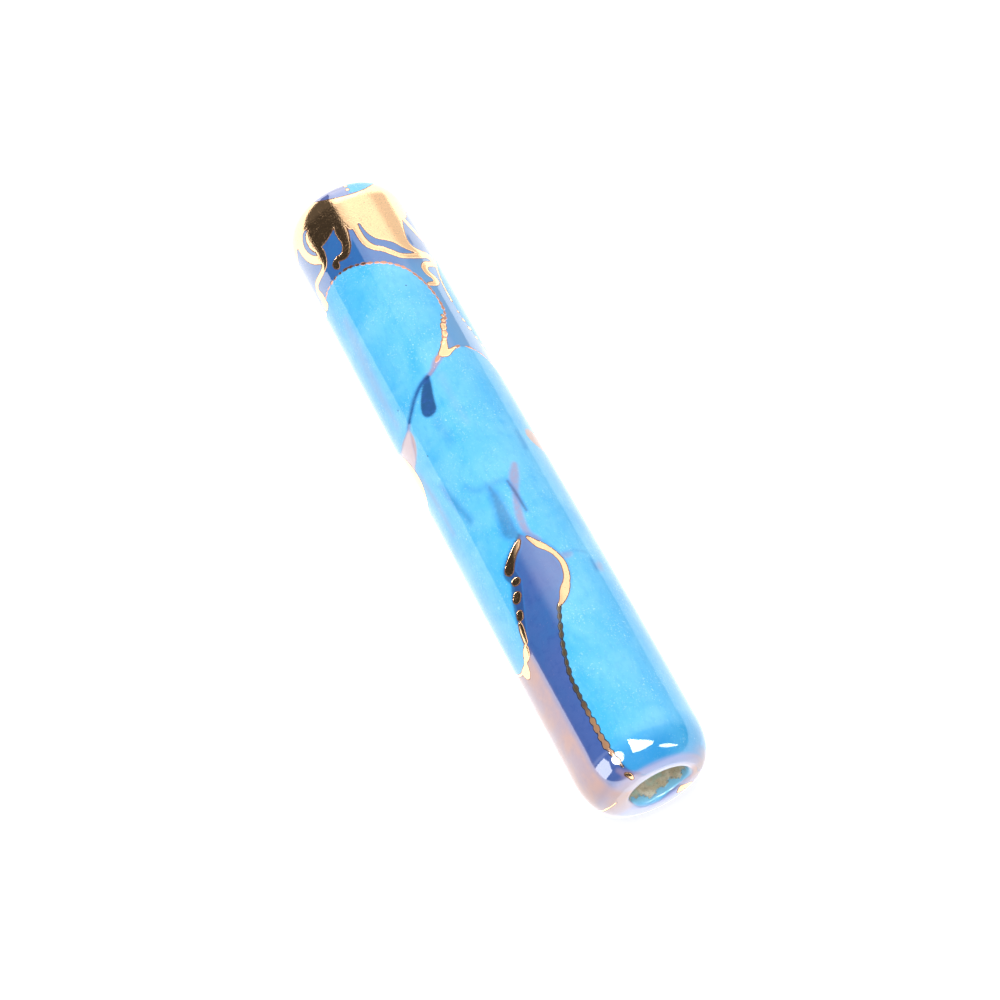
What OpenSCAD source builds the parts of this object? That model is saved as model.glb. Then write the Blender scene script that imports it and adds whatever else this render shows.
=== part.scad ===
// Ceramic mezuzah case: a glazed tube that lies on its back, with its mouth towards -Y, its closed
// end towards +Y and its front towards +Z. The scroll stands in the bore behind a ribbed stopper,
// and two foam pads with release liners hold the back of the case to a door post. Millimetres.

/* [Tube] */
// Length of the tube
tube_length = 120; // [105:1:150]
// Outside diameter of the tube
tube_diameter = 21.6; // [20:0.1:26]
// How far the rounding at the mouth reaches in from the tube's side
mouth_round_in = 3.8; // [1:0.1:4]
// How far the rounding at the mouth reaches along the tube
mouth_round_along = 7; // [1:0.1:9]
// How far the rounding at the closed end reaches in from the tube's side
top_round_in = 2.5; // [1:0.1:5]
// How far the rounding at the closed end reaches along the tube
top_round_along = 4.8; // [1:0.1:9]
// Depth of the flat land along the back of the tube
land_depth = 0.5; // [0.45:0.05:1]

/* [Bore] */
// Diameter of the bore that holds the scroll
bore_diameter = 9.8; // [9.8:0.1:11]
// Depth of the bore from the mouth
bore_depth = 111; // [105:1:112]
// Rounding of the bore's rim
bore_lip = 1; // [0.4:0.1:1.2]
// Sideways offset of the bore from the tube's axis, as the hand-rolled clay leaves it
bore_shift = 0.6; // [0:0.1:0.8]

/* [Stopper] */
// Length of the stopper
stopper_length = 8; // [6:0.5:10]
// Depth of the stopper's outer face inside the mouth
stopper_recess = 8; // [6:0.5:9]
// Radial clearance between the stopper's ribs and the bore
stopper_clearance = 0.05; // [0.02:0.01:0.1]

/* [Scroll] */
// Height of the parchment, along the tube
parchment_height = 80; // [70:1:84]
// Thickness of the parchment
parchment_thickness = 0.2; // [0.15:0.01:0.24]
// Turns in the rolled parchment
parchment_turns = 4; // [2:0.5:4]
// Wall of the clear sleeve round the scroll
sleeve_wall = 0.25; // [0.15:0.05:0.3]
// Radial clearance between the sleeve and the bore
sleeve_clearance = 0.4; // [0.3:0.05:0.5]

/* [Mounting] */
// Width of a foam pad
pad_width = 6; // [4:0.5:6]
// Length of a foam pad
pad_length = 26; // [15:1:30]
// Thickness of a foam pad
pad_thickness = 1; // [0.8:0.1:2]
// Distance of a pad's centre from the middle of the tube
pad_offset = 36; // [25:1:38]
// Thickness of a release liner
liner_thickness = 0.15; // [0.1:0.05:0.3]
// How far a liner's pull tab runs past its pad
liner_tab = 4; // [2:1:6]

/* [Hidden] */
$fn = 96;
arc_steps = 14;                 // straight steps in a rounded outline
cut = 1;                        // how far a cutting solid runs past the face it opens

tube_r = tube_diameter / 2;
bore_r = bore_diameter / 2;
mouth_y = -tube_length / 2;
mouth_round = [mouth_round_in, mouth_round_along];
top_round = [top_round_in, top_round_along];
pad_top_z = liner_thickness + pad_thickness;
axis_z = pad_top_z + tube_r - land_depth;

stopper_r = bore_r - stopper_clearance;
stopper_rib_proud = 0.35;
stopper_core_r = stopper_r - stopper_rib_proud;
stopper_rib_r = 0.55;
stopper_ribs = 3;
stopper_chamfer = 0.6;
grip_r = 3.1;
grip_depth = 4;
grip_bar = 1.5;

set_gap = 0.3;                  // between the stopper and what stands on it
sleeve_end = 2;                 // how far the sleeve runs past the parchment at each end
sleeve_r = bore_r - sleeve_clearance;
sleeve_y = mouth_y + stopper_recess + stopper_length + set_gap;
sleeve_length = parchment_height + 2 * sleeve_end;
roll_gap = 0.1;                 // between the scroll's outer turn and its sleeve
roll_pitch = 0.36;
roll_outer_r = sleeve_r - sleeve_wall - roll_gap;
roll_inner_r = roll_outer_r - parchment_thickness - roll_pitch * parchment_turns;
roll_steps = 20;                // straight steps in one turn of the parchment

liner_margin = 0.4;             // how far a liner stands out past its pad's sides

// A quarter of an ellipse about a centre, from one angle to another
function quarter(centre, radii, from, to) =
    [for (i = [0:arc_steps])
        let (a = from + (to - from) * i / arc_steps)
        [centre[0] + radii[0] * cos(a), centre[1] + radii[1] * sin(a)]];

// A point on the parchment's spiral, `out` millimetres outside its inner face
function roll_point(turn, out) =
    let (r = roll_inner_r + roll_pitch * turn + out)
    [r * cos(360 * turn), r * sin(360 * turn)];

// Stands children made along Z on the tube's line, starting at y
module along_tube(y, x = 0) {
    translate([x, y, axis_z]) rotate([-90, 0, 0]) children();
}

module tube_outline() {
    polygon(concat(
        [[0, 0]],
        quarter([tube_r - mouth_round_in, mouth_round_along], mouth_round, -90, 0),
        quarter([tube_r - top_round_in, tube_length - top_round_along], top_round, 0, 90),
        [[0, tube_length]]));
}

module bore_outline() {
    polygon(concat(
        [[0, -cut], [bore_r + bore_lip, -cut]],
        quarter([bore_r + bore_lip, bore_lip], [bore_lip, bore_lip], 270, 180),
        [[bore_r, bore_depth], [0, bore_depth]]));
}

// The fired clay tube: rounded rims, a blind bore and a flat land along the back
module case_body() {
    color("deepskyblue")
    difference() {
        along_tube(mouth_y) rotate_extrude() tube_outline();
        along_tube(mouth_y, bore_shift) rotate_extrude() bore_outline();
        translate([-tube_r, mouth_y - cut, pad_top_z - tube_r])
            cube([2 * tube_r, tube_length + 2 * cut, tube_r]);
    }
}

// The stopper's profile: a core with a chamfered inner end, and sealing ribs evenly spaced along it
module stopper_outline() {
    polygon([
        [0, 0],
        [stopper_core_r, 0],
        [stopper_core_r, stopper_length - stopper_chamfer],
        [stopper_core_r - stopper_chamfer, stopper_length],
        [0, stopper_length]]);
    for (i = [1:stopper_ribs])
        translate([stopper_r - stopper_rib_r, stopper_length * i / (stopper_ribs + 1)])
            circle(r = stopper_rib_r, $fn = 32);
}

// The rubber stopper, with a grip bar across a pocket in its outer face
module stopper() {
    color("dimgray")
    along_tube(mouth_y + stopper_recess, bore_shift)
    difference() {
        rotate_extrude() stopper_outline();
        difference() {
            translate([0, 0, -cut]) cylinder(r = grip_r, h = grip_depth + cut);
            translate([-grip_bar / 2, -grip_r - cut, -2 * cut])
                cube([grip_bar, 2 * (grip_r + cut), grip_depth + 4 * cut]);
        }
    }
}

// The parchment, rolled into a spiral
module scroll() {
    steps = round(parchment_turns * roll_steps);
    turns = [for (i = [0:steps]) i / roll_steps];
    color("wheat")
    along_tube(sleeve_y + sleeve_end, bore_shift)
    linear_extrude(height = parchment_height)
        polygon(concat(
            [for (i = [0:steps]) roll_point(turns[i], 0)],
            [for (i = [0:steps]) roll_point(turns[steps - i], parchment_thickness)]));
}

// The clear sleeve that keeps the parchment rolled
module scroll_sleeve() {
    color("white", 0.4)
    along_tube(sleeve_y, bore_shift)
    difference() {
        cylinder(r = sleeve_r, h = sleeve_length);
        translate([0, 0, -cut]) cylinder(r = sleeve_r - sleeve_wall, h = sleeve_length + 2 * cut);
    }
}

// A double-sided foam pad between the land and its liner
module foam_pad(y) {
    color("whitesmoke")
    translate([-pad_width / 2, y - pad_length / 2, liner_thickness])
        cube([pad_width, pad_length, pad_thickness]);
}

// A release liner, whose pull tab runs past the pad on the side that `towards` gives
module release_liner(y, towards) {
    width = pad_width + 2 * liner_margin;
    length = pad_length + 2 * liner_margin + liner_tab;
    color("khaki")
    translate([-width / 2, y + towards * liner_tab / 2 - length / 2, 0])
        cube([width, length, liner_thickness]);
}

case_body();
stopper();
scroll();
scroll_sleeve();
foam_pad(pad_offset);  // foam_pad_top
foam_pad(-pad_offset);  // foam_pad_bottom
release_liner(pad_offset, -1);  // release_liner_top
release_liner(-pad_offset, 1);  // release_liner_bottom
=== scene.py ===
"""Looks of a glazed ceramic mezuzah case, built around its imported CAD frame."""

import math
import random
from functools import cached_property

import bmesh
import bpy
import numpy as np
from mathutils import Matrix, Vector
from mathutils.geometry import tessellate_polygon


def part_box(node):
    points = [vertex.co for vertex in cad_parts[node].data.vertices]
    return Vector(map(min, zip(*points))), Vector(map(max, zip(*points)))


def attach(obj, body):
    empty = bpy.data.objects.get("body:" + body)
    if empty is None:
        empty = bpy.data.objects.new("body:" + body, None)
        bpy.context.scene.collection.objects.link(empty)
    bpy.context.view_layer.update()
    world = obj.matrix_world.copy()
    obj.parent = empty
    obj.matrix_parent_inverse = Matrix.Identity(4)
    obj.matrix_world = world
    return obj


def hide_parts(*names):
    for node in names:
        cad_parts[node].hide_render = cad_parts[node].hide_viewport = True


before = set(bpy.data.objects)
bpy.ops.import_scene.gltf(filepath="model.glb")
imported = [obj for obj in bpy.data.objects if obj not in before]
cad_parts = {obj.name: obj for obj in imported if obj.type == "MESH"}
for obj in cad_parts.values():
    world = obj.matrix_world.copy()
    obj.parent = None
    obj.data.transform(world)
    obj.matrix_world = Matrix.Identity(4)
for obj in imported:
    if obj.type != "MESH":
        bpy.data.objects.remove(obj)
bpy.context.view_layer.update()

MM = 0.001


def box_mm(node):
    """A CAD node's low and high corners, in millimetres."""
    return [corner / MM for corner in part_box(node)]


# ---------------------------------------------------------------- sizes, in millimetres
case_low, case_high = box_mm("case_body")
stopper_low, stopper_high = box_mm("stopper")
foam_front = box_mm("foam_pad_top")[1]

TUBE_R = 10.8
LAND_DEPTH = 0.5                 # how far the flat land cuts into the back
MOUTH_ROUND = (3.8, 7.0)         # in from the side, along the tube
TOP_ROUND = (2.5, 4.8)
BORE_R = 4.9
BORE_LIP = 1.0
BORE_DEPTH = 111.0
BORE_SEEN = 14.0                 # as deep as the mouth shows the bore's wall
BORE_STEP = 0.7
MOUTH_Y = case_low.y
TOP_Y = case_high.y
LAND_Z = foam_front.z
AXIS_Z = LAND_Z + TUBE_R - LAND_DEPTH
BORE_X = (stopper_low.x + stopper_high.x) / 2

CORE_R = 4.5                     # the stopper's
RIB_CENTRE_R = 4.3
RIB_R = 0.55
RIBS = 3
STOPPER_LENGTH = stopper_high.y - stopper_low.y
GRIP_R = 3.1
GRIP_DEPTH = 4.0
GRIP_BAR = 1.5
SHEET = 0.2                      # the parchment's thickness
ROLL_TURNS = 4
ROLL_PITCH = 0.36
FILM = 0.09                      # the sleeve's film
LAP_TURNS = 1.12
TAB = 4.4                        # a liner's free end

COLUMNS = 224                    # round the tube
FRONT_ANGLE = -14.0              # degrees: the columns are closest together here
FRONT_CROWD = 0.33
ROW_STEP = 0.34                  # along the straight part
LIP_PAINT = 5                    # how far past the mouth's first ring the pattern is worked out
GOLD_RELIEF = 0.05
GLAZE_RELIEF = 0.03


# ---------------------------------------------------------------- curves
def ramp(x, low, high):
    """A smooth step from 0 at `low` to 1 at `high`."""
    t = np.clip((x - low) / (high - low), 0, 1)
    return t * t * (3 - 2 * t)


def smooth_curve(points, step=0.5, closed=False):
    """Catmull-Rom through points, which start with degrees round the tube and millimetres along it."""
    p = np.array(points, float)
    if closed:
        p = np.vstack([p[-1], p, p[:2]])
    else:
        p = np.vstack([2 * p[0] - p[1], p, 2 * p[-1] - p[-2]])
    out = []
    for a, b, c, d in zip(p, p[1:], p[2:], p[3:]):
        length = math.hypot(math.radians(c[0] - b[0]) * TUBE_R, c[1] - b[1])
        for t in np.arange(0, 1, 1 / max(1, math.ceil(length / step))):
            out.append(0.5 * (2 * b + (c - a) * t + (2 * a - 5 * b + 4 * c - d) * t**2
                              + (3 * b - a - 3 * c + d) * t**3))
    out.append(out[0] if closed else p[-2])
    return np.array(out)


def quarter(radii, steps, start, end):
    """Points of an ellipse about the origin, from one angle to another, in degrees."""
    a = np.radians(np.linspace(start, end, steps + 1))
    return np.stack([radii[0] * np.cos(a), radii[1] * np.sin(a)], 1)


# ---------------------------------------------------------------- the tube's profile
def tube_profile():
    """Rings from the closed end to the bore's blind end: rows of (radius, y, x of the ring's centre)."""
    rows = []
    in_r, in_y = TOP_ROUND
    rows += [(r, TOP_Y, 0) for r in np.linspace(0, TUBE_R - in_r, 15)[1:-1]]
    rows += [(TUBE_R - in_r + r, TOP_Y - in_y + y, 0) for r, y in quarter(TOP_ROUND, 16, 90, 0)]
    m_r, m_y = MOUTH_ROUND
    straight = TOP_Y - in_y - (MOUTH_Y + m_y)
    rows += [(TUBE_R, TOP_Y - in_y - d, 0) for d in np.arange(ROW_STEP, straight - ROW_STEP / 2, ROW_STEP)]
    rows += [(TUBE_R - m_r + r, MOUTH_Y + m_y + y, 0) for r, y in quarter(MOUTH_ROUND, 28, 0, -90)]
    lip_r = BORE_R + BORE_LIP
    face_r = TUBE_R - m_r
    for t in (0.25, 0.5, 0.75):
        rows.append((face_r + (lip_r - face_r) * t, MOUTH_Y, BORE_X * t))
    for r, y in quarter((BORE_LIP, BORE_LIP), 7, 270, 180):
        rows.append((lip_r + r, MOUTH_Y + BORE_LIP + y, BORE_X))
    fine_end = MOUTH_Y + BORE_LIP + BORE_SEEN
    rows += [(BORE_R, y, BORE_X) for y in np.arange(MOUTH_Y + BORE_LIP + BORE_STEP, fine_end, BORE_STEP)]
    blind_y = MOUTH_Y + BORE_DEPTH
    rows += [(BORE_R, y, BORE_X) for y in np.linspace(fine_end, blind_y, 14)]
    rows += [(r, blind_y, BORE_X) for r in (3.4, 1.7)]
    return np.array(rows, float)


PROFILE = tube_profile()
MOUTH_ROW = int(np.argmax(PROFILE[:, 1] <= MOUTH_Y + 1e-6))          # the first ring of the mouth's face
TOP_ROW = int(np.argmax(PROFILE[:, 0] >= TUBE_R - 1e-6))             # the first ring of the straight part
# How far along the outside a ring is: y on the straight part, and the arc's length past either end of it
ARC = np.r_[0, np.cumsum(np.hypot(np.diff(PROFILE[:, 0]), np.diff(PROFILE[:, 1])))]
ALONG = PROFILE[TOP_ROW, 1] - (ARC - ARC[TOP_ROW])


def on_tube(curve):
    """Points in space, in millimetres, of (degrees, along) rows on the outside."""
    a = np.radians(curve[:, 0])
    r = np.interp(-curve[:, 1], -ALONG, PROFILE[:, 0])
    y = np.interp(-curve[:, 1], -ALONG, PROFILE[:, 1])
    x = np.interp(-curve[:, 1], -ALONG, PROFILE[:, 2])
    return np.stack([x + r * np.sin(a), y, AXIS_Z + r * np.cos(a)], 1)


# ---------------------------------------------------------------- the painted pattern
# Every shape is a list of (degrees from the front towards +X, millimetres along the tube[, half width]).
# Gold, copper and the soft strokes are drawn as strokes, and the turquoise cells as closed outlines.
COLLAR_EDGE = [
    (-180, 52), (-163, 53.8), (-150, 50), (-138, 53.4), (-118, 51.6), (-103, 53.8), (-85, 53.6),
    (-72, 54.8), (-60, 53.4), (-53, 50.6), (-44, 50.2), (-36, 50.4), (-29, 51), (-25, 51.7), (-20, 52.3),
    (-15, 51), (-12.5, 49.5), (-7, 49.9), (-2.5, 49.6), (0, 47.4), (5, 45.8), (12, 45), (18, 44.2),
    (24, 42.9), (31, 42), (39, 41.7), (46, 42), (40, 42.5), (35, 43.2), (33.4, 44.6), (36, 46.9),
    (40, 48.8), (44, 50.2), (50, 50.4), (58, 52.4), (72, 51.4), (84, 53.4), (98, 49.8), (112, 53.6),
    (128, 54.2), (142, 50.6), (158, 53.6), (180, 52)]
CELLS = {
    "upper": [
        (-72, 42.7), (-60, 43.2), (-50, 43.4), (-40, 43.4), (-30, 43.1), (-20, 42.4), (-10, 41.5),
        (0, 40.6), (8, 39.6), (15, 38.4), (21, 36.8), (26, 34.8), (29.6, 32.2), (30.4, 29.8),
        (28.4, 27.8), (24, 26.4), (20, 25), (16, 23.2), (10, 21.6), (4, 20.3), (-3, 18.9), (-10, 17.6),
        (-18, 17), (-30, 15.8), (-40, 14.3), (-50, 12.6), (-56, 11.7), (-65, 11.1), (-80, 10.8),
        (-95, 12), (-112, 13.4), (-128, 15.5), (-141, 20.5), (-147, 28), (-145, 37), (-134, 43),
        (-118, 44.6), (-100, 43.6), (-85, 42)],
    "middle": [
        (4, 19.5), (10, 19.2), (18, 20.3), (26, 20.6), (36, 20.1), (50, 18.5), (66, 15.6), (84, 13),
        (104, 8.4), (119, -1), (128, -14), (126, -28), (119, -40), (111, -50), (104, -57), (92, -61.2),
        (70, -62.4), (44, -62.5), (20, -62.4), (0, -62.2), (-16, -61.6), (-26, -60), (-31.6, -57),
        (-33.6, -54), (-33.6, -50), (-33.4, -46), (-32.4, -42), (-30, -39.6), (-27, -37.4), (-23, -35),
        (-19, -33), (-12, -30.3), (-7, -29.5), (-2, -28.4), (3, -27), (7.6, -25.4), (8.6, -23.4),
        (6.4, -21.4), (2, -19.8), (-3, -18.5), (-8, -17.2), (-12, -16.4), (-20, -17.6), (-28, -18.8),
        (-37, -20.4), (-37, -23), (-43, -25.4), (-48, -28), (-52, -30.5), (-55, -32), (-60, -33.4),
        (-70, -34.8), (-82, -34.4), (-98, -32.6), (-114, -30.6), (-128, -26.5), (-134, -18), (-132, -8),
        (-121, -1.5), (-104, 0.6), (-90, 0.2), (-80, 1.6), (-75.6, 4), (-74, 6.2), (-66, 7), (-60, 9.4),
        (-54, 11.6), (-44, 13.2), (-34, 14.8), (-24, 16.2), (-12, 17), (-4, 18.2)],
    "right": [
        (46.6, 31), (49, 27.4), (54, 23.6), (64, 20.2), (80, 18.2), (96, 19.4), (108, 24), (113, 31),
        (109, 38.6), (98, 43.4), (82, 45), (66, 43.4), (54, 39), (48, 35)],
    "back": [
        (176, 27), (190, 29.4), (202, 26), (208, 18), (205, 7), (196, -3), (184, -7.6), (171, -5),
        (162, 3), (158, 13), (162, 22)],
    "low": [
        (168, -22), (182, -19.6), (196, -23), (205, -31), (207, -42), (200, -52), (186, -58.4),
        (170, -58.6), (157, -52.6), (151, -43), (154, -30.6)],
}


def follow(cell, first, last, widths):
    """A stroke along a cell's outline, from its point `first` to `last`. Its half widths repeat in turn."""
    points = CELLS[cell]
    return [(*points[k % len(points)], widths[(k - first) % len(widths)]) for k in range(first, last + 1)]


GOLD_SHAPES = {
    "left patch": [
        (-76, 5.6), (-79, 8), (-85, 10.1), (-94, 11.3), (-106, 10.2), (-113, 6.8), (-110, 3), (-99, 0.9),
        (-88, 0.4), (-80, 1.6), (-75.6, 3.4)],
    "leaf drop": [(-55, -32), (-60, -32.6), (-64, -33.6), (-61, -34.4), (-56.5, -34), (-53.6, -32.8)],
    "low drop": [(-64, -34.4), (-70, -34.3), (-77, -34.6), (-75, -35.9), (-70, -36.5), (-65.6, -35.8)],
}
GOLD_HOLES = [                                        # strokes left out of the gold
    [(-48.6, 55, 0.25), (-53.6, 54.9, 0.42), (-58, 53.8, 0.5), (-58.4, 52, 0.5), (-55.6, 50.7, 0.36),
     (-53, 50, 0.2)],
    [(-3.6, 49.8, 0.3), (-2.8, 47.2, 0.42), (1, 45.2, 0.42), (8, 44.2, 0.42), (15, 43.3, 0.42),
     (22, 42.1, 0.34), (29, 41.6, 0.2)],
]
GOLD_STROKES = [
    # tendrils of the collar, from left to right
    [(-65, 55.4, 1.1), (-66, 53, 0.8), (-63.4, 51.2, 0.7), (-58.4, 49.7, 0.68), (-51, 48.5, 0.75)],
    [(-48, 51, 0.78), (-47.8, 48.8, 0.82), (-50, 47.2, 0.6), (-56, 46.6, 0.46), (-64, 46.5, 0.46),
     (-72, 46.4, 0.5), (-76.4, 45.4, 0.6), (-75, 43.9, 0.8), (-76.4, 42.5, 1.0), (-73, 42, 0.5)],
    [(-19, 52.4, 0.7), (-20, 50.8, 1.0), (-20.4, 49.4, 1.0), (-21, 48, 0.74), (-23, 46.8, 0.72),
     (-27.4, 45.8, 0.68), (-32, 45.8, 0.56), (-36, 46, 0.42), (-39.4, 45.5, 0.62), (-39, 44.9, 0.5)],
    [(-7, 50.4, 0.5), (-7.4, 48, 0.48), (-6, 45.8, 0.48), (-1.6, 44.3, 0.46), (5, 43.4, 0.46),
     (12, 42.1, 0.48), (18, 41.2, 0.5), (27, 40.9, 0.5), (38, 41.1, 0.62), (46, 41.5, 0.72),
     (52.6, 41, 0.76), (53.6, 39.9, 0.6), (47, 39.4, 0.52), (40, 39.1, 0.56), (35.4, 38.2, 0.6),
     (35.6, 37.1, 0.6), (39.4, 36.2, 0.56), (41, 35.3, 0.56), (37.4, 34.7, 0.46), (30, 34.5, 0.34)],
    [(43, 50.6, 0.6), (46, 49, 0.5), (50.4, 47.4, 0.5), (54, 46.2, 0.36), (58, 45.3, 0.2)],
    # the knot where the upper cells meet, and its beads
    [(4.6, 19.9, 0.4), (8, 20.3, 0.62), (11, 21.3, 0.5), (14.4, 22.6, 0.3)],
    [(5, 19.7, 0.42), (9.6, 19.6, 0.42), (14.6, 20.1, 0.3), (20, 20.5, 0.16)],
    [(16.8, 23.4, 0.42), (17.6, 23.8, 0.42)],
    [(19.2, 24.8, 0.46), (20.4, 25.4, 0.46)],
    # the leaf's outlines
    [(-15, -17.1, 0.24), (-19, -17.8, 0.5), (-24, -18.5, 0.5), (-29.6, -19.5, 0.62),
     (-34.6, -20.6, 0.78)],
    [(-33, -22.8, 0.6), (-34.6, -22.8, 0.6)],
    [(-39, -24.9, 0.68), (-41, -25.3, 0.68)],
    [(-45, -27.6, 0.6), (-46.2, -28, 0.6)],
    [(-49.4, -29, 0.36), (-51, -30.2, 0.5), (-53, -31.8, 0.4)],
    [(-7.6, -17.1, 0.14), (-4.6, -18.3, 0.36), (-1.4, -19.3, 0.5), (3, -20.4, 0.4), (6.8, -21.8, 0.34),
     (8.8, -23.6, 0.38), (7, -25.6, 0.42), (3.6, -26.9, 0.48), (-1.4, -28.2, 0.7), (-6.6, -29.5, 0.44),
     (-11.6, -30.2, 0.22)],
    # thin lines
    [(-62, -33.8, 0.4), (-66, -34.4, 0.3)],
    follow("middle", 51, 59, (0.3, 0.17, 0.17, 0.3, 0.5)),
    [(-104, -59.1, 0.26), (-98, -59.9, 0.14), (-92, -60.4, 0.2), (-86, -61, 0.12), (-80, -61.5, 0.22)],
    [(-33.4, -59.3, 0.26), (-31.8, -59.8, 0.38), (-32, -60.4, 0.26)],
    [(120, -62.0, 0.3), (126, -62.4, 0.58), (134, -62.8, 0.66), (143, -62.8, 0.3)],
    # the back of the tube
    follow("upper", 30, 38, (0.5, 0.34, 0.46, 0.28)),
    [(-140, 52, 0.9), (-143, 48, 0.6), (-138, 45.4, 0.45), (-130, 43.8, 0.3)],
    [(98, 50.6, 0.9), (97, 47.6, 0.5), (90, 45.6, 0.4), (80, 45.2, 0.26)],
    follow("right", 11, 14, (0.2, 0.2, 0.16)),
    follow("right", 3, 9, (0.24, 0.4, 0.3, 0.5)),
    follow("middle", 6, 14, (0.24, 0.38, 0.26, 0.46)),
    follow("back", 9, 15, (0.3, 0.5)),
    [(141, 50, 0.9), (147, 46.4, 0.6), (143, 43.2, 0.5), (150, 40, 0.34), (160, 37.6, 0.2)],
    follow("low", 9, 15, (0.26, 0.48)),
]
GOLD_DOTS = [(48.4, 26.8, 0.3), (50.8, 25.1, 0.36), (54, 23.2, 0.32), (47.2, 28.6, 0.2), (58, 21.8, 0.24),
             (3.4, 57.6, 0.3), (4, 58.8, 0.3), (2.6, 60, 0.3), (22.6, 26.4, 0.3), (24.8, 27.4, 0.26)]
COPPER_LINES = [                                      # beaded outlines, with the bead's pitch
    (1.15, [(-72, 42.8, 0.2), (-60, 43.3, 0.22), (-50, 43.5, 0.22), (-40, 43.5, 0.22), (-30, 43.2, 0.24),
            (-20, 42.5, 0.26), (-10, 41.6, 0.26), (0, 40.7, 0.26), (8, 39.7, 0.26), (15, 38.5, 0.26),
            (21, 36.9, 0.26), (26, 34.9, 0.26), (29.8, 32.2, 0.26), (30.6, 29.8, 0.28), (28.6, 27.8, 0.3),
            (24, 26.4, 0.36), (20, 25, 0.42), (16, 23.2, 0.42), (10, 21.8, 0.3)]),
    (2.6, [(18, 20.4, 0.22), (26, 20.7, 0.24), (36, 20.2, 0.2), (50, 18.6, 0.16), (66, 15.7, 0.16)]),
    (1.5, [(-12, -30.2, 0.2), (-16, -32, 0.26), (-20, -33.8, 0.26), (-24, -35.8, 0.26),
           (-27.6, -38, 0.27), (-30.4, -40, 0.26), (-32.6, -42.4, 0.27), (-33.4, -46, 0.3),
           (-33.6, -50, 0.37), (-33.8, -53, 0.42), (-32.4, -56, 0.34), (-31.4, -58, 0.2)]),
    (2.2, [(2, 19.7, 0.3), (-2.4, 18.9, 0.24), (-7, 18, 0.14)]),
    (1.4, follow("back", 4, 9, (0.24,))),
    (1.4, follow("low", 4, 9, (0.24,))),
]
# Soft strokes under the glaze: (strength, softness in millimetres, points)
NAVY_STROKES = [
    (0.95, 0.5, [(-15.4, 17.1, 0.3), (-19, 15.8, 0.75), (-23.4, 14.2, 1.1), (-27, 12.6, 1.35),
                 (-28.2, 11.7, 1.4)]),
    (0.66, 0.7, [(-17, 17.1, 0.4), (-28, 15.9, 0.52), (-38, 14.5, 0.56), (-47, 13, 0.5),
                 (-56, 11.7, 0.4)]),
    (0.5, 1.4, [(-54, -0.4, 0.4), (-50.4, -4, 0.7), (-44, -9.2, 0.6)]),
    (0.45, 1.8, [(-33, -3.8, 0.2), (-26, -5.6, 0.4), (-14, -6, 0.5), (0, -6.3, 0.3)]),
    (0.62, 1.5, [(-15, -6, 0.5), (-15, -9, 0.95), (-17, -13, 1.3), (-18, -15, 1.4), (-13, -16.4, 0.8)]),
    (0.8, 0.8, [(1, -6.6, 0.3), (2.2, -9, 0.4), (3, -12.8, 0.3)]),
    (0.5, 1.4, [(34, 2.2, 0.2), (34.4, 0.4, 0.5), (33.6, -1.2, 0.4)]),
    (0.6, 1.2, [(36.6, -24.4, 0.3), (36.2, -26, 0.4)]),
    (0.3, 0.7, [(14, -22.2, 0.4), (24, -22, 0.3), (34, -22.6, 0.3)]),
    (0.25, 1.6, [(-27, 9, 0.8), (-25, 4.4, 0.6)]),
    (0.8, 0.5, [(-13, -16.4, 0.4), (-20, -17.9, 0.85), (-28, -19.2, 1.0), (-35.4, -20.8, 1.15),
                (-34.4, -22.8, 1.0), (-40, -25.2, 1.1), (-45.6, -27.8, 1.0), (-51, -30.4, 0.8),
                (-54, -32, 0.6)]),
    (0.45, 0.5, [(-12, -16.2, 0.5), (-7, -16.8, 0.5), (-2, -18.8, 0.9), (5, -20.8, 0.8), (9, -23.6, 0.76),
                 (7, -25.6, 0.8), (3, -27, 0.84), (-1.6, -28.2, 1.0), (-7, -29.6, 0.7)]),
    (0.8, 0.6, [(118, 2, 0.8), (112, -6, 1.1), (104, -12, 0.5), (96, -16, 0.2)]),
    (0.6, 1.0, [(80, -30, 0.4), (88, -34, 0.9), (84, -40, 0.6)]),
    (0.7, 0.7, [(-120, 30, 0.4), (-112, 26, 0.9), (-110, 21, 0.5)]),
    (0.7, 0.7, [(178, 18, 0.4), (184, 12, 1.0), (183, 6, 0.6)]),
    (0.6, 0.8, [(178, -30, 0.4), (184, -38, 1.0), (180, -46, 0.5)]),
]
MAUVE_STROKES = [
    (0.75, 0.8, [(14, -4.2, 0.5), (8, -6.4, 0.8), (3, -8.8, 0.5), (-2, -11.6, 0.6), (-5.4, -14.4, 0.6),
                 (-5, -16.6, 0.5), (0, -18.4, 0.4)]),
    (0.8, 0.5, [(3, 19.6, 0.6), (-3, 18.8, 0.6), (-8, 17.9, 0.4), (-13, 17.2, 0.3)]),
    (0.14, 1.8, [(-5, 16, 0.6), (-6, 10, 0.5), (-5, 6, 0.3)]),
    (0.3, 2.0, [(-60, 36, 0.8), (-63, 30, 1.2), (-66, 22, 1.0), (-66, 14, 0.6)]),
    (0.7, 0.6, [(-37, -58.2, 0.4), (-32, -59.6, 0.7), (-24, -60.4, 0.4)]),
    (0.5, 0.5, [(-56.6, 11.2, 0.2), (-62, 9.9, 1.2), (-69, 9, 2.0), (-79, 8.4, 2.2)]),
    (0.35, 1.6, [(-74, 4, 0.7), (-70, -1, 0.6), (-69, -8, 0.4)]),
    (0.5, 0.8, [(10, -22.4, 0.5), (15, -22.6, 0.6), (20, -22.4, 0.3)]),
    (0.5, 1.2, [(41, -25.6, 0.7), (44, -25, 0.5)]),
]
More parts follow.
